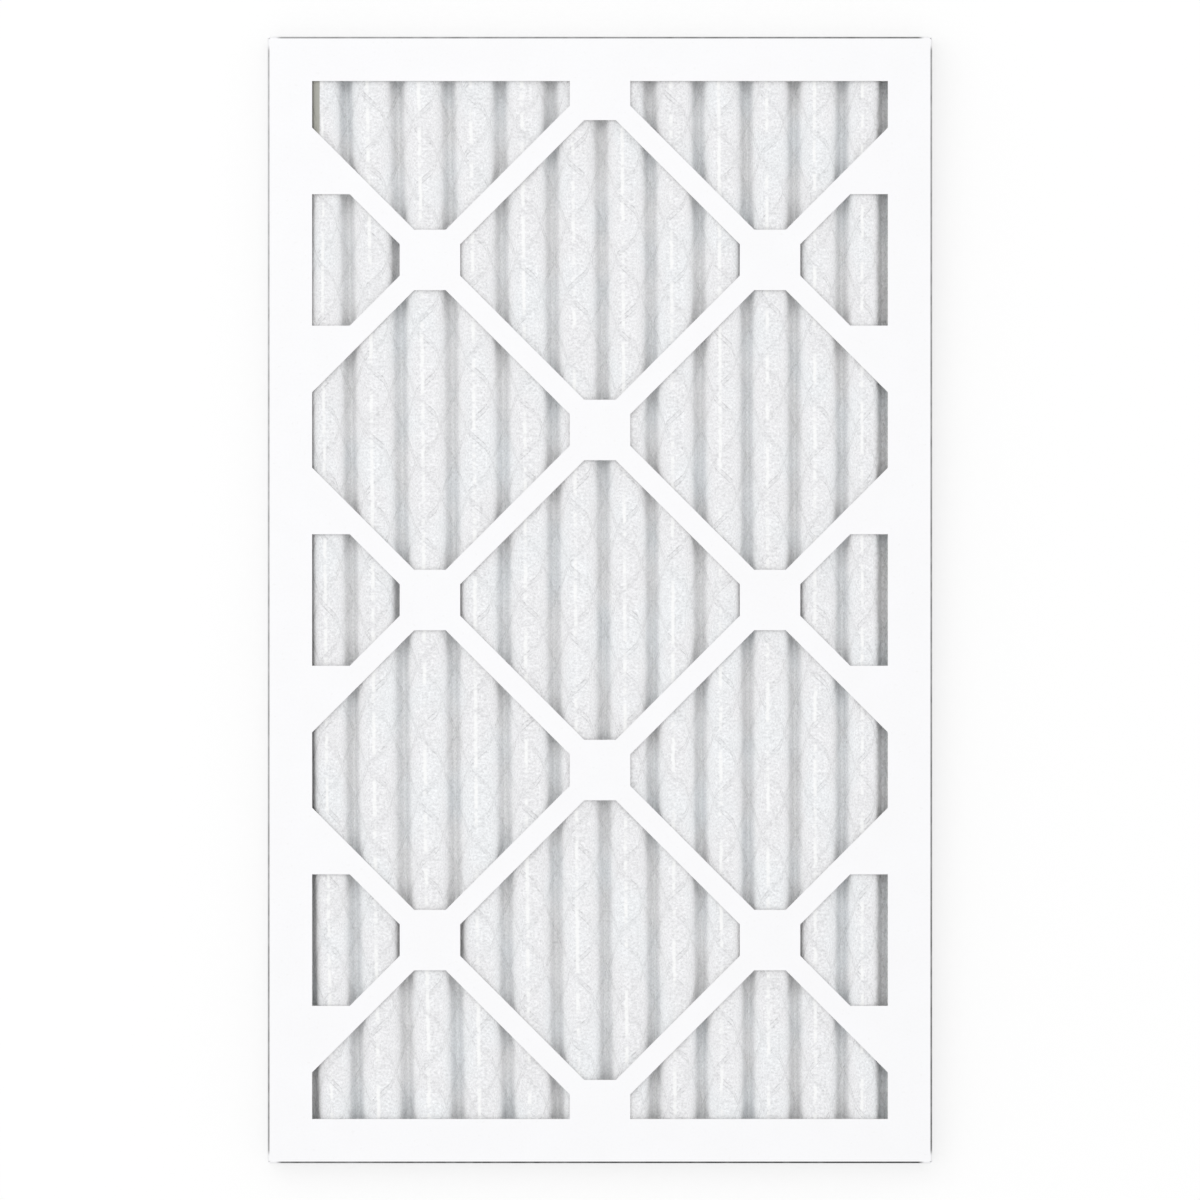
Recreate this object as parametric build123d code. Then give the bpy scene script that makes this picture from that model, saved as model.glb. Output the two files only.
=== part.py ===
from build123d import *
import math
import os

# Pleated panel air filter, 12 x 20 x 1 inch nominal size.
# Two die-cut board trays, one nested in the other, hold a pleated sheet of media that is backed by a
# grid of expanded metal. Diagonal supports cross both faces and are glued to the pleat tips.
#
# Millimetres. X runs across the pleats, Y along them and Z through the filter, from the rear face
# (air leaving, and backed by the grid) to the front face (air entering). The origin is the middle of the
# rear face, on which the filter lies.

# Overall size: the actual size of the nominal 12 x 20 x 1 inch filter.
width = 292.1
length = 495.3
depth = 19.05

# Board trays.
board = 0.7  # 28 point beverage board
fold_radius = 1.0  # outside radius of a fold
border = 19.5  # solid board round the windows
glue_line = 0.1  # between glued surfaces
edge_setback = 0.6  # from a wall's free edge to the face beyond it
tab_length = 18.0  # corner tab, glued behind the end wall
tab_taper = 3.0  # how much lower a tab's free end is, at its top and at its bottom
tab_relief = 0.3  # slit that frees a tab or a wall end from what is next to it

# Diagonal supports: strips at 45 degrees that cross at square pads.
support_pitch = 149.5  # between pads in one row, along X and along Y
support_width = 9.0
pad_width = 26.6
side_window_height = 57.8  # of the windows that a side border cuts through their middle
least_window = 12.0  # a window that would reach less than this past the border is left out

# Pleated media.
media = 1.8  # thickness of the nonwoven sheet
pleat_pitch = 21.4
pleat_shift = -1.6  # from the filter's middle to the valley nearest it
crest_flat = 6.4  # flat of a crest, on the front face of the grid
crest_radius = 3.5  # on the front of the media
valley_radius = 1.0  # on the front of the media
pack_clearance = 0.2  # between the pack's cut edges and the walls

# Expanded metal grid.
grid = 0.4  # thickness of the strands
strand = 1.3  # width of the strands
knuckle_pitch = 29.8  # between knuckles in one line, along Y
knuckle_lines = 3  # lines of knuckles in one unfolded pleat
knuckle_x = 8.4  # unfolded distance from a crest to the line of knuckles beside it
knuckle_y = 16.0  # of one knuckle in that line
strand_step = 2  # strands are modelled at every second place, to keep the solid small

# Inside faces of the nested trays. The rear tray sits inside the front tray's walls.
rear_reach_x = width / 2 - board - glue_line
rear_reach_y = length / 2 - board - glue_line
pack_x = 2 * (rear_reach_x - board - pack_clearance)
pack_y = 2 * (rear_reach_y - board - pack_clearance)

# Section of a pleat: a flat crest between two flanks that lean from the vertical and meet in a sharp
# valley. Offsets are from the grid's front face, square to it, and positive towards the front. The lean
# brings the grid's rear face down to the rear tray.
media_back = glue_line
media_front = media_back + media
crest_z = depth - board - glue_line - media_front
spread = (pleat_pitch - crest_flat) / 2
fall = crest_z - board - glue_line
lean = math.atan2(spread, fall) + math.asin(grid / math.hypot(spread, fall))
valley_z = crest_z - spread / math.tan(lean)
mitre = math.tan(math.pi / 4 - lean / 2)
flank = (crest_z - valley_z) / math.cos(lean)
half_pleat = crest_flat / 2 + flank
pleats_each_side = math.ceil(width / 2 / pleat_pitch) + 1


def window(column, row, field):
    """One window: a diamond whose tips are cut off by the pads, or a part of one beside the border."""
    half = support_pitch / 2
    tip = half - support_width / math.sqrt(2)
    cut = half - pad_width / 2
    beside = abs(column) * half > field[0] / 2
    tall = side_window_height if beside else 2 * cut
    diamond = Rectangle(math.sqrt(2) * tip, math.sqrt(2) * tip, rotation=45)
    return Pos(column * half, row * half) * (diamond & Rectangle(2 * cut, tall))


def windows():
    """All the windows of one face, inside the border."""
    half = support_pitch / 2
    field = (width - 2 * border, length - 2 * border)
    last = [math.floor((side / 2 - least_window + half - pad_width / 2) / half) for side in field]
    places = [
        (column, row)
        for column in range(-last[0], last[0] + 1)
        for row in range(-last[1], last[1] + 1)
        if (column + row) % 2 == 0
    ]
    return Rectangle(*field) & (Sketch() + [window(*place, field) for place in places])


def wall_section(reach, face, edge):
    """Section of a wall: a quarter-round fold that leaves the face, then the wall to its free edge."""
    way = 1 if edge > face else -1
    inside = fold_radius - board
    turn = face + way * fold_radius
    outer = CenterArc((reach - fold_radius, turn), fold_radius, -90 * way, 90 * way)
    inner = CenterArc((reach - fold_radius, turn), inside, -90 * way, 90 * way)
    lines = [
        outer,
        inner,
        Line(outer @ 0, inner @ 0),
        Polyline(outer @ 1, (reach, edge), (reach - board, edge), inner @ 1),
    ]
    return make_face(Curve() + lines)


def both_sides(wall, plane):
    """A wall and its mirror image."""
    return wall + mirror(wall, plane)


def corner_tab(face, edge):
    """Tab at one end of a side wall, turned in behind the end wall and tapered to its free end."""
    back = length / 2 - board - glue_line
    turn_x = width / 2 - fold_radius
    turn_y = back - fold_radius
    inside = fold_radius - board
    outer = CenterArc((turn_x, turn_y), fold_radius, 0, 90)
    inner = CenterArc((turn_x, turn_y), inside, 0, 90)
    bend = make_face(Curve() + [outer, inner, Line(outer @ 0, inner @ 0), Line(outer @ 1, inner @ 1)])
    low = edge + tab_relief
    high = face - fold_radius - tab_relief
    shape = Polyline(
        (turn_x, low),
        (turn_x, high),
        (turn_x - tab_length, high - tab_taper),
        (turn_x - tab_length, low + tab_taper),
        close=True,
    )
    blade = Plane.XZ.offset(-back) * make_face(shape)
    return extrude(Pos(0, 0, low) * bend, high - low) + extrude(blade, board)


def front_frame():
    """Outer tray: the front face with its windows, four walls and a glued tab in each corner."""
    edge = edge_setback
    panel = Rectangle(width - 2 * fold_radius, length - 2 * fold_radius) - windows()
    tray = Pos(0, 0, depth - board) * extrude(panel, board)

    side = wall_section(width / 2, depth, edge)
    wall_end = length / 2 - board - glue_line - fold_radius
    side_wall = extrude(Plane.XZ * side, length / 2 - fold_radius, both=True)
    spare = Box(2 * fold_radius, length, depth - fold_radius, align=(Align.CENTER, Align.MIN, Align.MIN))
    side_wall -= Pos(width / 2, wall_end, 0) * spare
    side_wall -= mirror(Pos(width / 2, wall_end, 0) * spare, Plane.XZ)
    tab = corner_tab(depth, edge)
    side_wall += both_sides(tab, Plane.XZ)

    end = wall_section(length / 2, depth, edge)
    end_wall = extrude(Plane.YZ * end, width / 2 - fold_radius, both=True)
    end_plate = Box(
        width, board, depth - fold_radius - edge, align=(Align.CENTER, Align.MAX, Align.MIN)
    )
    end_wall += Pos(0, length / 2, edge) * end_plate
    return tray + both_sides(side_wall, Plane.YZ) + both_sides(end_wall, Plane.XZ)


def rear_frame():
    """Inner tray: the same face at the rear, with plain walls that stop short of the corner tabs."""
    edge = depth - board - edge_setback
    panel = Rectangle(2 * (rear_reach_x - fold_radius), 2 * (rear_reach_y - fold_radius)) - windows()
    tray = extrude(panel, board)

    side = wall_section(rear_reach_x, 0, edge)
    side_run = rear_reach_y - fold_radius - tab_relief
    side_wall = extrude(Plane.XZ * side, side_run, both=True)

    end = wall_section(rear_reach_y, 0, edge)
    end_run = width / 2 - fold_radius - tab_length - tab_relief
    end_wall = extrude(Plane.YZ * end, end_run, both=True)
    return tray + both_sides(side_wall, Plane.YZ) + both_sides(end_wall, Plane.XZ)


def pleat_places():
    """X of each crest, with its distance from the middle along the unfolded sheet."""
    numbers = range(-pleats_each_side, pleats_each_side)
    return [(pleat_shift + (n + 0.5) * pleat_pitch, (2 * n + 1) * half_pleat) for n in numbers]


def fold_points(offset):
    """Points where the pleated sheet bends, at an offset in front of the grid's front face."""
    half_crest = crest_flat / 2 + offset * mitre
    points = []
    for crest, _ in pleat_places():
        points.append((crest - half_crest, crest_z + offset))
        points.append((crest + half_crest, crest_z + offset))
        points.append((crest + pleat_pitch / 2, valley_z + offset / math.sin(lean)))
    return points


def pleated_slab(front, back):
    """The solid between two lines of the pleats' section, cut to the size of the pack."""
    section = make_face(Curve() + [front, back, Line(front @ 0, back @ 0), Line(front @ 1, back @ 1)])
    slab = extrude(Plane.XZ * section, pack_y / 2, both=True)
    return slab & Box(pack_x, pack_y, 2 * depth)


def media_pack():
    """The pleated sheet: flat where it lies on the grid and rounded where it meets the air."""
    radii = [crest_radius, crest_radius, valley_radius] * (2 * pleats_each_side)
    front = FilletPolyline(*fold_points(media_front), radius=radii[1:-1])
    return pleated_slab(front, Polyline(*fold_points(media_back)))


def strand_outline(knuckle, slope):
    """A strand seen from the front. It is straight on the unfolded sheet, so it bends at every fold."""
    half = strand / 2 * math.hypot(1, slope)
    near = half_pleat + knuckle_x
    path = []
    for crest, along in pleat_places():
        bends = [
            (crest - crest_flat / 2, along - crest_flat / 2),
            (crest + crest_flat / 2, along + crest_flat / 2),
            (crest + pleat_pitch / 2, along + half_pleat),
        ]
        path += [(x, knuckle + slope * (reach - near)) for x, reach in bends]
    upper = [(x, y + half) for x, y in path]
    lower = [(x, y - half) for x, y in reversed(path)]
    return make_face(Polyline(*upper, *lower, close=True))


def support_grid():
    """Expanded metal: two families of crossing strands, folded with the media along its rear face."""
    slope = knuckle_pitch / 2 / (2 * half_pleat / knuckle_lines)
    step = strand_step * knuckle_pitch
    span = pack_y / 2 + slope * 2 * half_pleat * (pleats_each_side + 1)
    count = math.ceil(span / step)
    strands = [
        strand_outline(knuckle_y + n * step, way * slope)
        for way in (1, -1)
        for n in range(-count, count + 1)
    ]
    net = Rectangle(pack_x, pack_y) & (Sketch() + strands)
    sheet = pleated_slab(Polyline(*fold_points(0)), Polyline(*fold_points(-grid)))
    pieces = (extrude(net, depth) & sheet).solids()
    return max(pieces, key=lambda piece: piece.volume)


os.makedirs("parts", exist_ok=True)
export_step(front_frame(), "parts/front_frame.step")
export_step(rear_frame(), "parts/rear_frame.step")
export_step(media_pack(), "parts/media_pack.step")
export_step(support_grid(), "parts/support_grid.step")
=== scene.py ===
"""Finishes a pleated panel air filter.

A pleated nonwoven pack on folded expanded metal, held between two die-cut board trays.
"""

import bpy
from bpy.props import FloatProperty, FloatVectorProperty, IntProperty, PointerProperty
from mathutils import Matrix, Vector


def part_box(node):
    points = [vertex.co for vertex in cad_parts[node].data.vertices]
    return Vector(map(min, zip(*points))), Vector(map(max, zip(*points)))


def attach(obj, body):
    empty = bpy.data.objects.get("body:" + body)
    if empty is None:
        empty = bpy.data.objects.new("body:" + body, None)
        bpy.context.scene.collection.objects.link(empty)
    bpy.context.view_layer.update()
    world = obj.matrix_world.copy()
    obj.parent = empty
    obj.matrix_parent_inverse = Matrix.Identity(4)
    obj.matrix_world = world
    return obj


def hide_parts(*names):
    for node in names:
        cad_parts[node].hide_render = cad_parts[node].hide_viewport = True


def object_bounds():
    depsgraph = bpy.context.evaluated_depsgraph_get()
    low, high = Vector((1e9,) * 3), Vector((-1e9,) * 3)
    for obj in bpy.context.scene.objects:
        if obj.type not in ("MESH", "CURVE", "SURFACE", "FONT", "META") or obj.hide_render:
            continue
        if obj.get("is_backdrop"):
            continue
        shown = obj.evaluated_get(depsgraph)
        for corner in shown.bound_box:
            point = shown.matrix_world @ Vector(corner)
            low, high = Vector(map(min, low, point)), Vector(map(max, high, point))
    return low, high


bl_info = {
    "name": "Pleated Panel Air Filter",
    "version": (1, 0, 0),
    "blender": (4, 5, 0),
    "location": "View3D > Sidebar > Air Filter",
    "description": "Makes the media, folded grid, board finish and stage of a panel air filter",
    "category": "Add Mesh",
}

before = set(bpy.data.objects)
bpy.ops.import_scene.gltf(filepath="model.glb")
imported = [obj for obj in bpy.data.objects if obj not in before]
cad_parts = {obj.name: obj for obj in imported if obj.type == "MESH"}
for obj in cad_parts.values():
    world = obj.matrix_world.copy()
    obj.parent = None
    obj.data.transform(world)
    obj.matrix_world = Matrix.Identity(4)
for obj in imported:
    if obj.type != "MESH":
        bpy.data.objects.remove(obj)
CAD_LOW, CAD_HIGH = (Vector(corner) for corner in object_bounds())
PACK_LOW, PACK_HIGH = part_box("media_pack")
MM = 0.001


# ---------------------------------------------------------------- sizes and colours

def length(name, description, default):
    """A size in metres that is shown as a length."""
    return FloatProperty(
        name=name, description=description, default=default, unit="LENGTH", precision=5
    )


def colour(name, description, default):
    """A plain surface colour."""
    return FloatVectorProperty(
        name=name, description=description, default=default, subtype="COLOR", size=3, min=0, max=1
    )


class PleatSizes(bpy.types.PropertyGroup):
    """Sizes of the pleated pack, which the media and its grid share."""

    pack_width: length("Pack width", "Width across the pleats", PACK_HIGH.x - PACK_LOW.x)
    pack_length: length("Pack length", "Length along the pleats", PACK_HIGH.y - PACK_LOW.y)
    pitch: length("Pleat pitch", "Distance from crest to crest", 21.4 * MM)
    shift: length("Pleat shift", "How far the middle valley is off the centre line", -1.6 * MM)
    crests: IntProperty(
        name="Crests", description="Number of crests across the pack", default=14, min=2
    )
    crest_flat: length("Crest flat", "Width of the flat that the grid is folded to", 6.4 * MM)
    crest_height: length("Crest height", "Height of the grid's front face at a crest", 16.35 * MM)
    valley_height: length("Valley height", "Height of the grid's front face at a valley", 1.68 * MM)
    media_back: length("Media back", "From the grid's front face to the media's back", 0.1 * MM)
    media_front: length("Media front", "From the grid's front face to the media's front", 1.25 * MM)
    crest_radius: length("Crest radius", "Rounding of the media at a crest", 2.8 * MM)
    valley_radius: length("Valley radius", "Rounding of the media in a valley", 0.9 * MM)
    belly: length("Belly", "How far the lofty media bulges at each side of a crest", 3.45 * MM)
    wander: length("Wander", "How far the pleats bunch up left of the middle", 1.9 * MM)
    wander_span: length("Wander span", "Distance over which the bunching repeats", 300 * MM)
    wander_base: length("Wander base", "How far all the pleats have slipped to the right", 1.4 * MM)
    first_slip: length(
        "First pleat slip", "How far the first valley is pulled in from the left end", 4.0 * MM
    )
    last_slip: length(
        "Last pleat slip", "How far the last valley is pulled in from the right end", 3.2 * MM
    )
    drift: length(
        "Drift", "How far the pleats lean from one end to the other at the middle", 1.3 * MM
    )
    drift_fan: FloatProperty(
        name="Drift fan", description="How much more the left pleats lean", default=0.012
    )
    puff: length("Puff", "How far the media is drawn in where a strand holds it", 0.20 * MM)
    ripple: length("Ripple", "Unevenness of the media", 0.30 * MM)


class GridSizes(bpy.types.PropertyGroup):
    """Sizes of the expanded metal before it is folded."""

    strand_width: length("Strand width", "Width of one strand", 1.3 * MM)
    strand_thickness: length("Strand thickness", "Thickness of the metal", 0.4 * MM)
    knuckle_pitch: length("Knuckle pitch", "From knuckle to knuckle along the pleats", 29.8 * MM)
    knuckle_x: length("Knuckle start", "From a crest to the first line of knuckles", 8.4 * MM)
    knuckle_y: length("Knuckle height", "Place of one knuckle along the pleats", 16.0 * MM)
    lines_per_pleat: IntProperty(
        name="Knuckle lines",
        description="Lines of knuckles on one unfolded pleat",
        default=3,
        min=1,
    )


class FinishColours(bpy.types.PropertyGroup):
    """Colours of the finishes."""

    board: colour("Board", "Coated side of the board", (0.952, 0.952, 0.967))
    board_core: colour("Board core", "Cut edge and uncoated side of the board", (0.70, 0.68, 0.64))
    # Nearly black: the fold's cracking together with painted shade along the folded edge.
    crack_and_shade_colour: colour("Crease", "Line where the coating cracks along a fold", (0.05, 0.05, 0.05))
    media: colour("Media", "Nonwoven media", (0.852, 0.853, 0.868))
    # Painted highlight: near-white, for the bright line and glints along the crests.
    media_highlight: colour(
        "Pressed fibre", "Media pressed smooth along a crest", (0.97, 0.975, 0.975)
    )
    # Painted light: a paler colour that lifts the valleys, where they lie in shade.
    media_valley_light: colour("Deep media", "Media at the bottom of a valley", (0.90, 0.902, 0.905))
    # Partly frayed cut edge, partly painted shade from the border over the last pleat.
    ragged_fibre_and_shade_colour: colour("Loose fibre", "Dark loose fibre beside the last pleat", (0.20, 0.19, 0.17))
    # Painted shade, a dull olive grey, in the first valley near its top end, next to the frame's
    # left wall.
    first_valley_shade: colour(
        "Stain", "Dull adhesive that has soaked into the first valley", (0.36, 0.36, 0.31)
    )
    zinc: colour("Zinc", "Galvanised strand", (0.62, 0.64, 0.66))


class StageSizes(bpy.types.PropertyGroup):
    """Camera, light and floor."""

    camera_height: length("Camera height", "Height of the camera over the front face", 3.0)
    field: length("Field", "Width that the picture takes in", 527.5 * MM)
    floor: colour("Floor", "Colour of the floor", (0.42, 0.42, 0.42))
    sky: FloatProperty(
        name="Sky", description="Strength of the even light from all round", default=0.86, min=0
    )
    lamp: FloatProperty(
        name="Lamp", description="Power of the soft box overhead", default=14.5, min=0, unit="POWER"
    )


# ---------------------------------------------------------------- node helpers

class Value:
    """A number on its way through a node tree, so that a sum of nodes is written as a sum."""

    def __init__(self, tree, socket):
        self.tree = tree
        self.socket = socket

    def act(self, operation, *others):
        """Another kind of sum, by its name in the maths node."""
        made = self.tree.nodes.new("ShaderNodeMath")
        made.operation = operation
        for slot, term in zip(made.inputs, (self, *others)):
            feed(self.tree, slot, term)
        return Value(self.tree, made.outputs[0])

    def __add__(self, other):
        return self.act("ADD", other)

    def __sub__(self, other):
        return self.act("SUBTRACT", other)

    def __rsub__(self, other):
        return (-self).act("ADD", other)

    def __mul__(self, other):
        return self.act("MULTIPLY", other)

    def __truediv__(self, other):
        return self.act("DIVIDE", other)

    def __neg__(self):
        return self.act("MULTIPLY", -1.0)

    __radd__ = __add__
    __rmul__ = __mul__

    def size(self):
        return self.act("ABSOLUTE")

    def least(self, other):
        return self.act("MINIMUM", other)

    def most(self, other):
        return self.act("MAXIMUM", other)

    def share(self):
        """Kept between 0 and 1."""
        return self.least(1.0).most(0.0)

    def over(self, other):
        return self.act("GREATER_THAN", other)

    def fraction(self):
        return self.act("FRACT")

    def whole(self):
        return self.act("FLOOR")

    def off_whole(self):
        """How far this number is from the nearest whole one."""
        return ((self + 0.5).fraction() - 0.5).size()

    def ramp(self, start, end, low=0.0, high=1.0):
        """Eases from low to high while this number goes from start to end."""
        made = self.tree.nodes.new("ShaderNodeMapRange")
        made.interpolation_type = "SMOOTHSTEP"
        for slot, term in zip(made.inputs, (self, start, end, low, high)):
            feed(self.tree, slot, term)
        return Value(self.tree, made.outputs[0])

    def fade(self, start, end):
        """Eases from 1 to 0 while this number goes from start to end."""
        return self.ramp(start, end, 1.0, 0.0)


def feed(tree, slot, term):
    """Gives a socket a value, or what another node makes."""
    if isinstance(term, Value):
        tree.links.new(term.socket, slot)
    elif isinstance(term, bpy.types.NodeSocket):
        tree.links.new(term, slot)
    else:
        slot.default_value = term


def node(tree, kind, settings=None, **inputs):
    """A node with its settings and its inputs, which are named with _ for a space."""
    made = tree.nodes.new(kind)
    for name, value in (settings or {}).items():
        setattr(made, name, value)
    for name, value in inputs.items():
        feed(tree, made.inputs[name.replace("_", " ")], value)
    return made


def split(tree, vector):
    """The three numbers of a vector."""
    made = tree.nodes.new("ShaderNodeSeparateXYZ")
    feed(tree, made.inputs[0], vector)
    return [Value(tree, out) for out in made.outputs]


def joined(tree, x, y, z):
    """A vector from three numbers."""
    made = tree.nodes.new("ShaderNodeCombineXYZ")
    for slot, term in zip(made.inputs, (x, y, z)):
        feed(tree, slot, term)
    return made.outputs[0]


def scaled(tree, vector, amount):
    """A vector, or a colour, times a number."""
    made = node(tree, "ShaderNodeVectorMath", {"operation": "SCALE"})
    feed(tree, made.inputs[0], vector)
    feed(tree, made.inputs["Scale"], amount)
    return made.outputs[0]


def either(test, when_false, when_true):
    """One number or another, as test is 0 or 1."""
    return when_false + (when_true - when_false) * test


def compared(tree, number, operation, limit):
    """Whether a number passes a test, as a selection."""
    made = node(tree, "FunctionNodeCompare", {"data_type": "FLOAT", "operation": operation})
    feed(tree, made.inputs[0], number)
    feed(tree, made.inputs[1], limit)
    return made.outputs[0]


def position(tree):
    """Where the points of the mesh lie when this is read."""
    return split(tree, node(tree, "GeometryNodeInputPosition").outputs[0])


def placed(tree, made, x, y, z):
    """Puts the points that a node makes in their places."""
    spot = joined(tree, x, y, z)
    return node(tree, "GeometryNodeSetPosition", Geometry=made.outputs[0], Position=spot)


def point_index(tree):
    """The number of each point, from 0."""
    return Value(tree, node(tree, "GeometryNodeInputIndex").outputs[0])


def new_tree(name, sockets):
    """A geometry tree with named inputs.

    Returns the tree, its inputs by name, and its output node.
    """
    tree = bpy.data.node_groups.new(name, "GeometryNodeTree")
    tree.is_modifier = True
    for way in ("INPUT", "OUTPUT"):
        tree.interface.new_socket(name="Geometry", in_out=way, socket_type="NodeSocketGeometry")
    for label, default in sockets:
        kind = "NodeSocketInt" if isinstance(default, int) else "NodeSocketFloat"
        kind = "NodeSocketMaterial" if isinstance(default, bpy.types.Material) else kind
        socket = tree.interface.new_socket(name=label, in_out="INPUT", socket_type=kind)
        if not isinstance(default, bpy.types.Material):
            socket.default_value = default
    made = {}
    for out in tree.nodes.new("NodeGroupInput").outputs:
        made[out.name] = out if out.type in ("GEOMETRY", "MATERIAL", "CUSTOM") else Value(tree, out)
    return tree, made, tree.nodes.new("NodeGroupOutput")


def end_tree(tree, given, result, mesh):
    """Ends a geometry tree: all of it real, in its material."""
    real = node(tree, "GeometryNodeRealizeInstances", Geometry=mesh).outputs[0]
    dressed = node(tree, "GeometryNodeSetMaterial", Geometry=real, Material=given["Material"])
    feed(tree, result.inputs[0], dressed.outputs[0])


def run_tree(name, mesh, tree, sockets):
    """Runs a geometry tree on a mesh and returns the object with the result as its plain mesh."""
    piece = bpy.data.objects.new(name, mesh)
    bpy.context.scene.collection.objects.link(piece)
    modifier = piece.modifiers.new("Make", "NODES")
    modifier.node_group = tree
    wanted = dict(sockets)
    for item in tree.interface.items_tree:
        if item.in_out == "INPUT" and item.name in wanted:
            modifier[item.identifier] = wanted[item.name]
    settle(piece)
    return piece


def settle(piece):
    """Turns the piece's modifiers into its mesh."""
    scene_state = bpy.context.evaluated_depsgraph_get()
    result = bpy.data.meshes.new_from_object(
        piece.evaluated_get(scene_state), preserve_all_data_layers=True, depsgraph=scene_state
    )
    piece.modifiers.clear()
    result.name = piece.name
    piece.data = result
    if not result.polygons:
        raise RuntimeError(piece.name + " came out empty")
    result.shade_smooth()


# ---------------------------------------------------------------- the fold both pieces share

# Where the first and the last pleat slip, from one end of the slip to the other.
FIRST_SLIP_X = (-130 * MM, -108 * MM)
FIRST_SLIP_Y = (120 * MM, 190 * MM)
FIRST_SLIP_LEAST = 0.55  # share of the slip that is left along the rest of the first pleat
LAST_SLIP_X = (112 * MM, 130 * MM)
WALL_HOLD = (16 * MM, 1 * MM)  # from the pack's cut sides: where the walls begin to hold it, and do
BUNCH_MIDDLE = 5 * MM  # left of the centre line
BUNCH_SPREAD = 0.01  # how much the pleats open out from the middle
DRIFT_REACH = -0.45  # share of the pack's length that makes a full drift, negative for the bottom
BOW = 0.35 * MM  # small waves in the folds
BOW_TURNS = (14.0, 7.0)  # radians a metre along the pleats and across them
RADIANS_A_TURN = 6.28319


def leaned(x, y, sizes):
    """How far a point of the pack stands off its regular place, as the folds wander and drift."""
    half_width = 0.5 * sizes.pack_width
    along = y / (DRIFT_REACH * sizes.pack_length)
    turns = (x + BUNCH_MIDDLE) / sizes.wander_span * RADIANS_A_TURN
    bunch = turns.act("COSINE") * sizes.wander + x * BUNCH_SPREAD + sizes.wander_base
    lean = along * (x * (-sizes.drift_fan) + sizes.drift)
    held = x.size().fade(half_width - WALL_HOLD[0], half_width - WALL_HOLD[1])
    first = x.fade(*FIRST_SLIP_X) * y.ramp(*FIRST_SLIP_Y, FIRST_SLIP_LEAST, 1.0) * sizes.first_slip
    last = x.ramp(*LAST_SLIP_X) * sizes.last_slip
    bow = (y * BOW_TURNS[0]).act("SINE") * (x * BOW_TURNS[1] + 1.0).act("COSINE") * BOW
    return (bunch + lean + bow + first - last) * held


def flank(sizes):
    """Run, drop and length of the fold's flank from a crest's corner to the valley."""
    run = 0.5 * (sizes.pitch - sizes.crest_flat)
    drop = sizes.crest_height - sizes.valley_height
    return run, drop, (run * run + drop * drop) ** 0.5


def half_pleat(sizes):
    """Unfolded distance from a crest's middle to the valley."""
    return 0.5 * sizes.crest_flat + flank(sizes)[2]


def cell_width(sizes, grid):
    """Unfolded distance from one line of knuckles to the next."""
    return 2 * half_pleat(sizes) / grid.lines_per_pleat


def slants(sizes, grid, across, along):
    """Two numbers for a place on the unfolded sheet.

    Their sum is whole on the strands of one slant, and their difference on those of the other.
    """
    a = (along - grid.knuckle_y) / grid.knuckle_pitch
    b = (across - half_pleat(sizes) - grid.knuckle_x) / (2 * cell_width(sizes, grid))
    return a, b


# ---------------------------------------------------------------- finishes

# How strongly each pattern shows in the media's tone.
FIBRE_TONE = 1.15
TUFT_TONE = 0.30
BLOTCH_TONE = 0.14
WIDE_TONE = 0.10
STRAND_CREASE_SHADE_TONE = 0.055
CREASE_SIDE_SHADE_TONE = 0.17
# How far each colour of the media goes to its own.
VALLEY_LIGHT_SHARE = 0.85
COOL_SHARE = 0.55
PAINTED_GLINT_SHARE = 0.45
RAGGED_FIBRE_AND_SHADE_SHARE = 0.18
FIRST_VALLEY_SHADE_SHARE = 0.85
COOL_TINT = (0.965, 0.995, 1.0)
HIGHLIGHT_OFFSET = 1.3 * MM  # from a crest's middle to the painted highlight line
HIGHLIGHT_WOBBLE = 1.1 * MM  # how far that line strays
STREAK_GRAINS = (23.0, 75.0)  # where it breaks, to the metre across the sheet and along it
STREAK_BASE = 0.95
STREAK_FIBRE = 2.2
CREASE_SIDE_SHADE_OFFSET = 0.75 * MM  # from a strand's middle to the fine line of painted shade beside it
WAVER = 0.02  # how much the strand lines waver, as a share of their pitch
# Where the last pleat runs under the border, and where the first valley gets painted shade.
RAGGED_X = (119.8 * MM, 121.8 * MM)
FIRST_VALLEY_SHADE_X = (-123.5 * MM, -123.1 * MM)
FIRST_VALLEY_SHADE_Y = (203.0 * MM, 207.0 * MM)

# Of the board, measured outwards from the outline.
WALL_BAND = -1.2 * MM  # the folded walls stand outside this
CRACK_AND_SHADE_BAND = (-0.90 * MM, -0.72 * MM)  # where the cracking and painted shade of a fold begin, and are full
CRACK_AND_SHADE_HEIGHT = (8.5 * MM, 9.0 * MM)  # from the middle of the filter's depth
CORNER_BAND = (3.0 * MM, 6.5 * MM)  # from a corner: where the cracking and painted shade begin, and are full
END_BAND = -1.5 * MM  # the top and bottom folds
CRACK_AND_SHADE_BASE = 0.635  # how much the fold's cracking and painted shade show at the centre lines
CRACK_AND_SHADE_ACROSS = 0.58  # how much more painted shade the fold gets towards the right, for a metre
CRACK_AND_SHADE_ALONG = 0.465  # how much less painted shade towards the top
CRACK_AND_SHADE_ENDS = 0.2  # how much more it shows along the top and bottom folds
CRACK_AND_SHADE_UNEVEN = 0.5
CUT_SLOPE = (0.35, 0.6)  # the normal's rise of a cut edge
BACK_FACES = (-0.001, -0.003)  # metres behind the middle, times the normal's rise
BACK_SHARE = 0.55  # how far the uncoated side goes to the core's colour

DULL_TINT = (0.62, 0.62, 0.62)  # of the zinc's spangle


def new_material(name):
    """A material with an empty principled shader."""
    material = bpy.data.materials.new(name)
    material.use_nodes = True
    tree = material.node_tree
    return material, tree, tree.nodes["Principled BSDF"]


def set_shader(shader, settings):
    """Constants on the shader's own sockets."""
    for name, value in settings.items():
        shader.inputs[name].default_value = value


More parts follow.
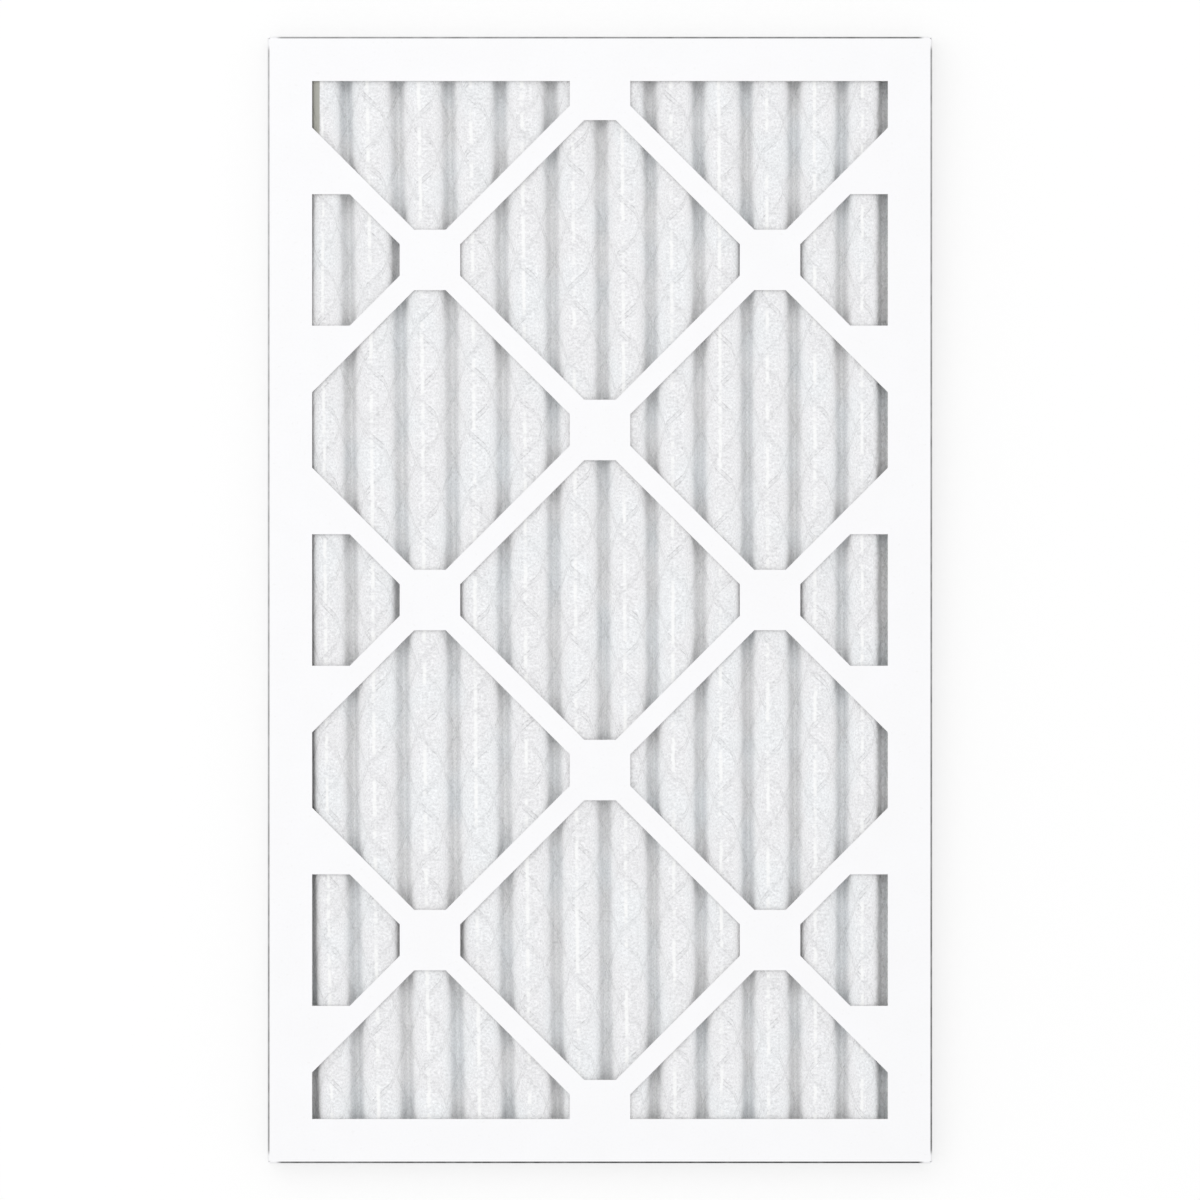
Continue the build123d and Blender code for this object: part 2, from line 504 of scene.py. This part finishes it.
def blended(tree, amount, first, second):
    """A colour between two, by amount."""
    made = node(tree, "ShaderNodeMix", {"data_type": "RGBA"})
    feed(tree, made.inputs[0], amount)
    feed(tree, made.inputs[6], first)
    feed(tree, made.inputs[7], second)
    return made.outputs[2]


def rgba(plain):
    """A colour with its alpha."""
    return (*plain, 1.0)


def tinted(plain, factors):
    """A colour with each of its three parts times its own factor."""
    return rgba(part * factor for part, factor in zip(plain, factors))


def noise(tree, vector, scale, detail, roughness):
    """An even random pattern about 0.5, with scale as its grains to the metre."""
    made = node(
        tree, "ShaderNodeTexNoise", Vector=vector, Scale=scale, Detail=detail, Roughness=roughness
    )
    return Value(tree, made.outputs[0])


def bump(tree, height, distance, strength):
    """A bump of the given depth in metres."""
    made = node(tree, "ShaderNodeBump", Height=height, Distance=distance, Strength=strength)
    return made.outputs["Normal"]


def media_finish(sizes, grid, colours):
    """Matt nonwoven: fibres, soft mottling and the strands' creases, with painted light: a
    highlight and glints along the crests, paler valleys, and shade along the creases, at the last
    pleat and in the first valley.
    """
    material, tree, shader = new_material("pleated_nonwoven")
    pleat = 2 * half_pleat(sizes)
    sheet = node(tree, "ShaderNodeUVMap", {"uv_map": "UVMap"}).outputs[0]
    across, along, _ = split(tree, sheet)
    place = node(tree, "ShaderNodeTexCoord").outputs["Object"]
    x, y, _ = split(tree, place)
    # Fibres: fine grain, tufts, blotches, and wide faint tints.
    fibre = noise(tree, sheet, scale=950.0, detail=6.0, roughness=0.75)
    tuft = noise(tree, sheet, scale=460.0, detail=4.0, roughness=0.65)
    blotch = noise(tree, sheet, scale=120.0, detail=3.0, roughness=0.55)
    wide = noise(tree, sheet, scale=28.0, detail=2.0, roughness=0.5)
    # Strands behind the media, as lines of a diamond lattice on the unfolded sheet.
    cell = cell_width(sizes, grid)
    a, b = slants(sizes, grid, across, along)
    waver = (tuft - 0.5) * WAVER
    reach = grid.knuckle_pitch * cell / (cell * cell + 0.25 * grid.knuckle_pitch ** 2) ** 0.5
    line = (a + b + waver).off_whole().least((a - b + waver).off_whole()) * reach
    # Each strand's line gets painted shade where it presses its creases into the media, and a fine
    # line of painted shade runs beside it; the bump gives the creases their relief.
    strand = line.fade(0.2 * MM, 1.5 * MM)
    crease_side_shade = (line - CREASE_SIDE_SHADE_OFFSET).size().fade(0.08 * MM, 0.30 * MM) * blotch.ramp(0.46, 0.60)
    # A painted highlight runs along a broken line beside each crest's middle, where the fibres lie
    # flattened.
    crest = ((across / pleat).fraction() - 0.5) * pleat
    stray = noise(tree, sheet, scale=240.0, detail=3.0, roughness=0.6) - 0.5
    pressed_highlight = (crest + HIGHLIGHT_OFFSET + stray * HIGHLIGHT_WOBBLE).size().fade(0.25 * MM, 0.90 * MM)
    stretch = joined(tree, across * STREAK_GRAINS[0], along * STREAK_GRAINS[1], 0.0)
    broken = noise(tree, stretch, scale=1.0, detail=3.0, roughness=0.7).ramp(0.42, 0.55)
    highlight_streak = pressed_highlight * broken * (STREAK_BASE + (fibre - 0.5) * STREAK_FIBRE)
    # Painted glints: bright flecks that are strongest at the crests.
    painted_glint = tuft.ramp(0.60, 0.74) * crest.size().ramp(6 * MM, 12 * MM, 1.0, 0.25)
    # Painted light: the media turns paler towards the bottom of each valley.
    valley_light = crest.size().ramp(9.0 * MM, 15.5 * MM)
    # Dark flecks where the last pleat runs under the border, partly its frayed cut edge and partly
    # painted shade from the border, and painted shade in the first valley near its top end.
    tangle = noise(tree, place, scale=520.0, detail=4.0, roughness=0.7)
    ragged_fibre_and_shade = x.ramp(*RAGGED_X) * tangle.ramp(0.50, 0.58)
    # Painted shade in the first valley near its top end.
    first_valley_shade = x.fade(*FIRST_VALLEY_SHADE_X) * y.ramp(*FIRST_VALLEY_SHADE_Y)
    tone = 1.0 + (fibre - 0.5) * FIBRE_TONE + (tuft - 0.5) * TUFT_TONE
    tone = tone + (blotch - 0.5) * BLOTCH_TONE + (wide - 0.5) * WIDE_TONE
    # Painted shade along the strands' creases and the fine lines beside them.
    tone = tone - strand * STRAND_CREASE_SHADE_TONE - crease_side_shade * CREASE_SIDE_SHADE_TONE
    # The colours, one over another.
    shade = blended(tree, valley_light * VALLEY_LIGHT_SHARE, rgba(colours.media), rgba(colours.media_valley_light))
    cool = wide.ramp(0.42, 0.66) * COOL_SHARE
    shade = blended(tree, cool, shade, tinted(colours.media, COOL_TINT))
    shade = scaled(tree, shade, tone)
    # Painted highlight along each crest.
    shade = blended(tree, highlight_streak.share(), shade, rgba(colours.media_highlight))
    # Painted glints near the crests.
    shade = blended(tree, painted_glint * PAINTED_GLINT_SHARE, shade, rgba(colours.media_highlight))
    shade = blended(tree, ragged_fibre_and_shade * RAGGED_FIBRE_AND_SHADE_SHARE, shade, rgba(colours.ragged_fibre_and_shade_colour))
    shade = blended(tree, first_valley_shade * FIRST_VALLEY_SHADE_SHARE, shade, rgba(colours.first_valley_shade))
    feed(tree, shader.inputs["Base Color"], shade)
    set_shader(shader, {"Roughness": 0.92, "Specular IOR Level": 0.15})
    set_shader(shader, {"Sheen Weight": 0.08, "Sheen Roughness": 0.6})
    height = (fibre - 0.5) * 0.9 + (tuft - 0.5) * 0.8 - strand * 0.8
    feed(tree, shader.inputs["Normal"], bump(tree, height, distance=0.16 * MM, strength=0.8))
    return material


def board_finish(colours):
    """Coated board with a raw cut edge, a greyer uncoated back and fine cracks along its folds,
    darkened with painted shade.
    """
    material, tree, shader = new_material("coated_board")
    place = node(tree, "ShaderNodeTexCoord").outputs["Object"]
    x, y, z = split(tree, place)
    _, _, upright = split(tree, node(tree, "ShaderNodeNewGeometry").outputs["Normal"])
    half_width = 0.5 * (CAD_HIGH.x - CAD_LOW.x)
    half_length = 0.5 * (CAD_HIGH.y - CAD_LOW.y)
    from_middle = z - 0.5 * (CAD_HIGH.z + CAD_LOW.z)
    fibre = noise(tree, place, scale=900.0, detail=4.0, roughness=0.6)
    cloud = noise(tree, place, scale=60.0, detail=3.0, roughness=0.5)
    edge_x = x.size() - half_width
    edge_y = y.size() - half_length
    outline = edge_x.most(edge_y)
    face = 1.0 - outline.over(WALL_BAND)
    # A cut edge stands upright, inside the outline.
    cut = upright.size().fade(*CUT_SLOPE) * face
    # The coated side faces out of the filter; the other one faces the pack.
    back = (from_middle * upright).ramp(*BACK_FACES) * face
    # The fold line cracks a little and gets painted shade, stronger towards the right and the
    # bottom, but not at the mitred corners.
    near_fold = outline.ramp(*CRACK_AND_SHADE_BAND) * from_middle.size().ramp(*CRACK_AND_SHADE_HEIGHT)
    corner = (-edge_x).most(-edge_y).ramp(*CORNER_BAND)
    depth = CRACK_AND_SHADE_BASE + x * CRACK_AND_SHADE_ACROSS + edge_y.over(END_BAND) * CRACK_AND_SHADE_ENDS - y * CRACK_AND_SHADE_ALONG
    broken = noise(tree, place, scale=150.0, detail=3.0, roughness=0.6) - 0.5
    crack_and_shade = near_fold * corner * (depth + broken * CRACK_AND_SHADE_UNEVEN)
    speck = noise(tree, place, scale=520.0, detail=2.0, roughness=0.5).ramp(0.66, 0.74)
    uncoated = fibre.ramp(0.35, 0.75) * 0.04 + cloud.ramp(0.3, 0.7) * 0.03 + speck * 0.10
    shade = blended(tree, uncoated, rgba(colours.board), rgba(colours.board_core))
    shade = blended(tree, (cut + back * BACK_SHARE).least(1.0), shade, rgba(colours.board_core))
    shade = blended(tree, crack_and_shade.share(), shade, rgba(colours.crack_and_shade_colour))
    feed(tree, shader.inputs["Base Color"], shade)
    feed(tree, shader.inputs["Roughness"], 0.52 + (fibre - 0.5) * 0.2 + cut * 0.3 + back * 0.25)
    set_shader(shader, {"Specular IOR Level": 0.25})
    relief = bump(tree, fibre + cut * fibre * 2.0, distance=0.04 * MM, strength=0.5)
    feed(tree, shader.inputs["Normal"], relief)
    return material


def zinc_finish(colours):
    """Galvanised strand with a dull spangle."""
    material, tree, shader = new_material("galvanised_strand")
    place = node(tree, "ShaderNodeTexCoord").outputs["Object"]
    spangle = node(tree, "ShaderNodeTexVoronoi", Vector=place, Scale=520.0)
    patch = Value(tree, spangle.outputs["Distance"])
    grain = noise(tree, place, scale=1400.0, detail=3.0, roughness=0.6)
    dulled = patch.ramp(0.1, 0.8) * 0.5 + (grain - 0.5) * 0.4
    shade = blended(tree, dulled, rgba(colours.zinc), tinted(colours.zinc, DULL_TINT))
    feed(tree, shader.inputs["Base Color"], shade)
    set_shader(shader, {"Metallic": 0.85})
    feed(tree, shader.inputs["Roughness"], 0.42 + (grain - 0.5) * 0.3)
    feed(tree, shader.inputs["Normal"], bump(tree, grain, distance=0.03 * MM, strength=0.6))
    return material


# ---------------------------------------------------------------- pleated media

CORNERS = 3.0  # of the section in each pleat
CORNER_NUDGE = 0.01  # added before rounding down, so that a whole quotient stays
SECTION_STEP = 1.55 * MM  # between the points of the section
SWEEP_ROWS = 124  # of points along the pleats
ROUNDING_POINTS = 6  # in each rounded corner
BACK_CREST_SHARE = 0.42  # of the front's radius, on the back of a crest
BACK_VALLEY_RADIUS = 0.35 * MM
END_WITHIN = 0.01 * MM  # of the pack's cut side, where a corner stays sharp
FLAT_ENDS = (9 * MM, 2 * MM)  # from the pack's ends: where the unevenness dies away, and is gone
FLAT_LOW = (2.0 * MM, 6.0 * MM)  # heights between which the unevenness grows
HOLD_SHARE = 0.28  # of a cell, over which a strand draws the media in
CEILING = 0.04 * MM  # that the uneven media may stand over its crest
RIPPLE_SCALE = 75.0  # grains to the metre
RIPPLE_DETAIL = 1.5


def media_tree(sizes, material):
    """Draws the pleated sheet's section by rule, sweeps it and lays out its flat pattern."""
    sockets = [
        ("Crests", sizes.crests),
        ("Pitch", sizes.pitch),
        ("Shift", sizes.shift),
        ("Crest flat", sizes.crest_flat),
        ("Crest height", sizes.crest_height),
        ("Valley height", sizes.valley_height),
        ("Back", sizes.media_back),
        ("Front", sizes.media_front),
        ("Crest radius", sizes.crest_radius),
        ("Valley radius", sizes.valley_radius),
        ("Belly", sizes.belly),
        ("Width", sizes.pack_width),
        ("Length", sizes.pack_length),
        ("Section step", SECTION_STEP),
        ("Rows", SWEEP_ROWS),
        ("Ripple", sizes.ripple),
        ("Puff", sizes.puff),
        ("Material", material),
    ]
    tree, given, result = new_tree("Pleated media", sockets)
    run, drop, slope_length = flank(sizes)
    half = half_pleat(sizes)
    mitre = (slope_length - run) / drop
    rise = slope_length / run
    # Corners of the section, along the back and then the front: two at a crest, one in a valley.
    corners = given["Crests"] * CORNERS
    line = node(tree, "GeometryNodeMeshLine")
    feed(tree, line.inputs["Count"], corners * 2.0)
    index = point_index(tree)
    front = index.over(corners - 0.5)
    step = either(front, index, corners * 2.0 - 1.0 - index)
    pleat = (step / CORNERS + CORNER_NUDGE).whole()
    kind = step - pleat * CORNERS
    valley = kind.over(1.5)
    side = kind.over(0.5) * 2.0 - 1.0
    offset = given["Back"] + (given["Front"] - given["Back"]) * front
    crest_x = given["Shift"] + (pleat - given["Crests"] / 2.0 + 0.5) * given["Pitch"]
    crest_half = given["Crest flat"] * 0.5 + offset * mitre + given["Belly"] * front
    z_crest = given["Crest height"] + offset
    z_valley = given["Valley height"] + offset * rise
    x_free = either(valley, crest_x + side * crest_half, crest_x + given["Pitch"] * 0.5)
    z_free = either(valley, z_crest, z_valley)
    # The pack's sides are cut where its width ends, part of the way down a flank.
    limit = given["Width"] * 0.5
    x_kept = x_free.least(limit).most(-limit)
    steepness = (z_crest - z_valley) / (given["Pitch"] * 0.5 - crest_half)
    z_kept = z_free + (x_free - x_kept) * steepness * valley
    spots = placed(tree, line, x_kept, z_kept, 0.0)
    outline = node(tree, "GeometryNodeMeshToCurve", Mesh=spots.outputs[0])
    closed = node(tree, "GeometryNodeSetSplineCyclic", Geometry=outline.outputs[0], Cyclic=True)
    radius_back = either(valley, given["Crest radius"] * BACK_CREST_SHARE, BACK_VALLEY_RADIUS)
    radius_front = either(valley, given["Crest radius"], given["Valley radius"])
    at_end = (x_kept.size() - limit).size().fade(0.0, END_WITHIN)
    radius = either(front, radius_back, radius_front) * (1.0 - at_end)
    rounded = node(
        tree, "GeometryNodeFilletCurve", {"mode": "POLY"},
        Curve=closed.outputs[0], Radius=radius, Count=ROUNDING_POINTS, Limit_Radius=True,
    )
    even = node(
        tree, "GeometryNodeResampleCurve", {"mode": "LENGTH"},
        Curve=rounded.outputs[0], Length=given["Section step"],
    )
    # Sweep along the pleats.
    start, end = (joined(tree, 0.0, 0.0, given["Length"] * share) for share in (-0.5, 0.5))
    rail = node(tree, "GeometryNodeCurvePrimitiveLine", Start=start, End=end)
    rows = node(tree, "GeometryNodeResampleCurve", Curve=rail.outputs[0], Count=given["Rows"])
    swept = node(
        tree, "GeometryNodeCurveToMesh",
        Curve=rows.outputs[0], Profile_Curve=even.outputs[0], Fill_Caps=True,
    )
    x, up, reach = position(tree)
    turned = placed(tree, swept, x, -reach, up)
    # Flat pattern: distance across the unfolded sheet, and distance along the pleats.
    x, y, z = position(tree)
    turn = (x - given["Shift"]) / given["Pitch"] - 0.5
    nearest = (turn + 0.5).whole()
    off = (turn - nearest) * given["Pitch"]
    widest = 0.5 * sizes.crest_flat + sizes.media_front * mitre
    flat_half = given["Crest flat"] * 0.5 + given["Front"] * mitre
    on_flat = off.size().least(flat_half) * (0.5 * sizes.crest_flat / widest)
    on_flank = (off.size() - flat_half).most(0.0) * (slope_length / (0.5 * sizes.pitch - widest))
    across = nearest * (2 * half) + half + off.act("SIGN") * (on_flat + on_flank)
    pattern = joined(tree, across, y, 0.0)
    mapped = node(
        tree, "GeometryNodeStoreNamedAttribute", {"data_type": "FLOAT2", "domain": "CORNER"},
        Geometry=turned.outputs[0], Name="UVMap", Value=pattern,
    )
    # Unevenness along the normals, drawn in where a strand holds the sheet.
    a, b = slants(sizes, bpy.context.scene.filter_grid, across, y)
    held = (a + b).off_whole().least((a - b).off_whole()).fade(0.0, HOLD_SHARE)
    wavy = node(
        tree, "ShaderNodeTexNoise", Vector=pattern, Scale=RIPPLE_SCALE, Detail=RIPPLE_DETAIL
    )
    ripple = (Value(tree, wavy.outputs[0]) - 0.5) * given["Ripple"]
    end = given["Length"] * 0.5
    inward = (ripple - held * given["Puff"]) * y.size().fade(end - FLAT_ENDS[0], end - FLAT_ENDS[1])
    facing = node(tree, "GeometryNodeInputNormal").outputs[0]
    push = scaled(tree, facing, inward * z.ramp(*FLAT_LOW))
    uneven = node(tree, "GeometryNodeSetPosition", Geometry=mapped.outputs[0], Offset=push)
    x, y, z = position(tree)
    ceiling = given["Crest height"] + given["Front"] + CEILING
    leant = placed(tree, uneven, x + leaned(x, y, sizes), y, z.least(ceiling))
    smooth = node(tree, "GeometryNodeSetShadeSmooth", Geometry=leant.outputs[0])
    end_tree(tree, given, result, smooth.outputs[0])
    return tree, sockets


class AIRFILTER_OT_media(bpy.types.Operator):
    """Makes the pleated media in place of its plain solid"""

    bl_idname = "airfilter.media"
    bl_label = "Pleated Media"

    def execute(self, context):
        scene = context.scene
        sizes = scene.filter_pleats
        material = media_finish(sizes, scene.filter_grid, scene.filter_colours)
        tree, sockets = media_tree(sizes, material)
        piece = run_tree("pleated_media", bpy.data.meshes.new("pleated_media"), tree, sockets)
        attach(piece, "root")
        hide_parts("media_pack")
        return {"FINISHED"}


# ---------------------------------------------------------------- folded expanded metal

LEG_STOPS = (0.28, 0.44, 0.73)  # shares of a strand's leg at which it can bend
ROW_NUDGE = 0.0005  # added before rounding down, so that a whole quotient stays
WELD_WITHIN = 0.02 * MM
TRIM_SIDES = 0.8 * MM  # that the grid is narrower than the pack
TRIM_ENDS = 3.0 * MM  # that the grid is shorter than the pack


def strand_unit(sizes, grid):
    """Two legs of one strand, flat: out to the next line of knuckles and back."""
    cell = cell_width(sizes, grid)
    rise = 0.5 * grid.knuckle_pitch
    leg = (cell * cell + rise * rise) ** 0.5
    cut = 0.5 * grid.strand_width * leg / cell
    # Folds land at the crest's corners and in the valley, so the legs have points there.
    notch = cut / rise
    stops = [0.0, notch, *LEG_STOPS, 1.0 - notch, 1.0]
    for fold in (-0.5 * sizes.crest_flat, 0.5 * sizes.crest_flat, half_pleat(sizes)):
        stops.append((fold - grid.knuckle_x) / cell % 1)
    vertices = []
    faces = []
    for mirrored in (False, True):
        first = len(vertices)
        for share in sorted(stops):
            low = max(share * rise - cut, 0.0)
            high = min(share * rise + cut, rise)
            for y in (low, high):
                vertices.append((share * cell, grid.knuckle_pitch - y if mirrored else y, 0.0))
        for number in range(len(stops) - 1):
            corner = first + 2 * number
            quad = (corner, corner + 2, corner + 3, corner + 1)
            faces.append(tuple(reversed(quad)) if mirrored else quad)
    mesh = bpy.data.meshes.new("strand_unit")
    mesh.from_pydata(vertices, [], faces)
    return mesh


def grid_tree(sizes, grid, material):
    """Repeats the strand over the unfolded sheet, folds it and trims it to the pack."""
    run, drop, slope_length = flank(sizes)
    half = half_pleat(sizes)
    pleat_lines = grid.lines_per_pleat
    sockets = [
        ("Knuckle lines", (sizes.crests + 1) * pleat_lines),
        ("Rows", int(sizes.pack_length / grid.knuckle_pitch) + 3),
        ("Cell width", cell_width(sizes, grid)),
        ("Knuckle pitch", grid.knuckle_pitch),
        ("Knuckle start", grid.knuckle_x),
        ("Knuckle height", grid.knuckle_y),
        ("Pitch", sizes.pitch),
        ("Shift", sizes.shift),
        ("Crest flat", sizes.crest_flat),
        ("Crest height", sizes.crest_height),
        ("Width", sizes.pack_width - TRIM_SIDES),
        ("Length", sizes.pack_length - TRIM_ENDS),
        ("Material", material),
    ]
    tree, given, result = new_tree("Folded expanded metal", sockets)
    # A knuckle for each line and row, with every second line half a pitch further along.
    places = node(tree, "GeometryNodeMeshLine")
    feed(tree, places.inputs["Count"], given["Knuckle lines"] * given["Rows"])
    index = point_index(tree)
    column = (index / given["Rows"] + ROW_NUDGE).whole()
    row = index - column * given["Rows"]
    first = (given["Knuckle lines"] / (2.0 * pleat_lines)).whole() * float(pleat_lines)
    count = column - first
    odd = (count * 0.5).fraction().size().over(0.25)
    x = half + given["Knuckle start"] + count * given["Cell width"]
    steps = row - (given["Rows"] * 0.5).whole() + odd * 0.5
    y = given["Knuckle height"] + steps * given["Knuckle pitch"]
    spots = placed(tree, places, x, y, 0.0).outputs[0]
    many = node(tree, "GeometryNodeInstanceOnPoints", Points=spots, Instance=given["Geometry"])
    real = node(tree, "GeometryNodeRealizeInstances", Geometry=many.outputs[0]).outputs[0]
    welded = node(tree, "GeometryNodeMergeByDistance", Geometry=real, Distance=WELD_WITHIN)
    # Fold the flat sheet: the nearest crest, and how far the point is from its middle.
    across, along, _ = position(tree)
    pleat = (across / (2 * half)).whole()
    off = across - half - pleat * (2 * half)
    flat = off.size().least(given["Crest flat"] * 0.5)
    down = (off.size() - given["Crest flat"] * 0.5).most(0.0)
    sideways = off.act("SIGN") * (flat + down * (run / slope_length))
    x = given["Shift"] + (pleat + 0.5) * given["Pitch"] + sideways
    z = given["Crest height"] - down * (drop / slope_length)
    folded = placed(tree, welded, x, along, z)
    # Trim to the pack, with the edges that are left without a face.
    x, y, z = position(tree)
    outside = x.size().over(given["Width"] * 0.5).most(y.size().over(given["Length"] * 0.5))
    trimmed = node(
        tree, "GeometryNodeDeleteGeometry", {"domain": "POINT"},
        Geometry=folded.outputs[0], Selection=compared(tree, outside, "GREATER_THAN", 0.5),
    )
    edge_faces = node(tree, "GeometryNodeInputMeshEdgeNeighbors").outputs[0]
    clean = node(
        tree, "GeometryNodeDeleteGeometry", {"domain": "EDGE"},
        Geometry=trimmed.outputs[0], Selection=compared(tree, edge_faces, "LESS_THAN", 0.5),
    )
    leant = placed(tree, clean, x + leaned(x, y, sizes), y, z)
    end_tree(tree, given, result, leant.outputs[0])
    return tree, sockets


class AIRFILTER_OT_grid(bpy.types.Operator):
    """Makes the expanded metal that is folded with the media"""

    bl_idname = "airfilter.grid"
    bl_label = "Folded Grid"

    def execute(self, context):
        scene = context.scene
        sizes = scene.filter_pleats
        grid = scene.filter_grid
        tree, sockets = grid_tree(sizes, grid, zinc_finish(scene.filter_colours))
        piece = run_tree("folded_grid", strand_unit(sizes, grid), tree, sockets)
        wall = piece.modifiers.new("Metal", "SOLIDIFY")
        wall.thickness = grid.strand_thickness
        wall.offset = -1.0
        wall.use_even_offset = True
        settle(piece)
        piece.data.shade_flat()
        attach(piece, "root")
        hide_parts("support_grid")
        return {"FINISHED"}


# ---------------------------------------------------------------- board trays

class AIRFILTER_OT_frames(bpy.types.Operator):
    """Gives the two die-cut board trays their coated finish"""

    bl_idname = "airfilter.frames"
    bl_label = "Board Trays"

    def execute(self, context):
        material = board_finish(context.scene.filter_colours)
        for name in ("front_frame", "rear_frame"):
            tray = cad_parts[name]
            tray.data.materials.clear()
            tray.data.materials.append(material)
        return {"FINISHED"}


# ---------------------------------------------------------------- stage

FLOOR_REACH = 6.0
FLOOR_GAP = 0.0005  # below the filter
SOFT_BOX_SIDE = 2.4
SOFT_BOX_PLACE = (-0.7, 0.6, 2.5)
SENSOR = 36.0
CLIP = (0.05, 50.0)


def seen_directly(tree, *rays):
    """1 for what the camera sees, and for the other kinds of ray that are named."""
    path = node(tree, "ShaderNodeLightPath")
    seen = Value(tree, path.outputs["Is Camera Ray"])
    for ray in rays:
        seen = seen.most(Value(tree, path.outputs[ray]))
    return seen


def floor_finish(stage):
    """A floor that reads white behind the filter and still takes its shadow."""
    material, tree, shader = new_material("pale_floor")
    set_shader(shader, {"Base Color": rgba(stage.floor)})
    set_shader(shader, {"Roughness": 0.95, "Specular IOR Level": 0.0})
    glow = node(tree, "ShaderNodeEmission", Color=(1, 1, 1, 1))
    seen = seen_directly(tree, "Is Glossy Ray")
    feed(tree, glow.inputs["Strength"], seen * (1.0 - stage.floor[0]))
    both = node(tree, "ShaderNodeAddShader")
    feed(tree, both.inputs[0], shader.outputs[0])
    feed(tree, both.inputs[1], glow.outputs[0])
    feed(tree, tree.nodes["Material Output"].inputs["Surface"], both.outputs[0])
    return material


def add_floor(scene, stage):
    """The floor, just under the filter."""
    low = CAD_LOW.z - FLOOR_GAP
    sides = ((-1, -1), (1, -1), (1, 1), (-1, 1))
    corners = [(FLOOR_REACH * x, FLOOR_REACH * y, low) for x, y in sides]
    mesh = bpy.data.meshes.new("floor")
    mesh.from_pydata(corners, [], [(0, 1, 2, 3)])
    mesh.materials.append(floor_finish(stage))
    floor = bpy.data.objects.new("floor", mesh)
    scene.collection.objects.link(floor)
    floor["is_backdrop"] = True


def add_sky(scene, stage):
    """An even sky, which is seen as white."""
    world = bpy.data.worlds.new("soft_sky")
    world.use_nodes = True
    tree = world.node_tree
    sky = tree.nodes["Background"]
    sky.inputs["Color"].default_value = (1, 1, 1, 1)
    seen = seen_directly(tree, "Is Glossy Ray", "Is Transmission Ray")
    feed(tree, sky.inputs["Strength"], stage.sky + seen * (1.0 - stage.sky))
    scene.world = world


def add_lamp(scene, stage):
    """One wide soft box, overhead and towards the upper left."""
    light = bpy.data.lights.new("soft_box", "AREA")
    light.shape = "RECTANGLE"
    light.size = light.size_y = SOFT_BOX_SIDE
    light.energy = stage.lamp
    lamp = bpy.data.objects.new("soft_box", light)
    lamp.location = SOFT_BOX_PLACE
    lamp.rotation_euler = (Vector((0, 0, 0)) - lamp.location).to_track_quat("-Z", "Y").to_euler()
    scene.collection.objects.link(lamp)


def add_camera(scene, stage):
    """The camera, straight over the front face."""
    lens = bpy.data.cameras.new("camera")
    lens.sensor_fit = "HORIZONTAL"
    lens.sensor_width = SENSOR
    lens.lens = lens.sensor_width * stage.camera_height / stage.field
    lens.clip_start, lens.clip_end = CLIP
    camera = bpy.data.objects.new("camera", lens)
    camera.location = (0.0, 0.0, CAD_HIGH.z + stage.camera_height)
    scene.collection.objects.link(camera)
    scene.camera = camera


class AIRFILTER_OT_stage(bpy.types.Operator):
    """Sets the floor, the light and the camera"""

    bl_idname = "airfilter.stage"
    bl_label = "Stage"

    def execute(self, context):
        scene = context.scene
        for add in (add_floor, add_sky, add_lamp, add_camera):
            add(scene, scene.filter_stage)
        scene.view_settings.view_transform = "Standard"
        return {"FINISHED"}


# ---------------------------------------------------------------- sidebar and registration

OPERATORS = (AIRFILTER_OT_grid, AIRFILTER_OT_media, AIRFILTER_OT_frames, AIRFILTER_OT_stage)
GROUPS = (
    ("filter_pleats", PleatSizes),
    ("filter_grid", GridSizes),
    ("filter_colours", FinishColours),
    ("filter_stage", StageSizes),
)


class AIRFILTER_PT_build(bpy.types.Panel):
    """Lists the steps and the sizes"""

    bl_idname = "AIRFILTER_PT_build"
    bl_label = "Air Filter"
    bl_space_type = "VIEW_3D"
    bl_region_type = "UI"
    bl_category = "Air Filter"

    def draw(self, context):
        for operator in OPERATORS:
            self.layout.operator(operator.bl_idname)
        for name, group in GROUPS:
            box = self.layout.box()
            box.label(text=group.__doc__)
            for item in group.__annotations__:
                box.prop(getattr(context.scene, name), item)


def register():
    for name, group in GROUPS:
        bpy.utils.register_class(group)
        setattr(bpy.types.Scene, name, PointerProperty(type=group))
    for made in (*OPERATORS, AIRFILTER_PT_build):
        bpy.utils.register_class(made)


def unregister():
    for made in (AIRFILTER_PT_build, *reversed(OPERATORS)):
        bpy.utils.unregister_class(made)
    for name, group in reversed(GROUPS):
        delattr(bpy.types.Scene, name)
        bpy.utils.unregister_class(group)


def main():
    register()
    bpy.ops.airfilter.grid()
    bpy.ops.airfilter.media()
    bpy.ops.airfilter.frames()
    bpy.ops.airfilter.stage()


if __name__ == "__main__":
    main()
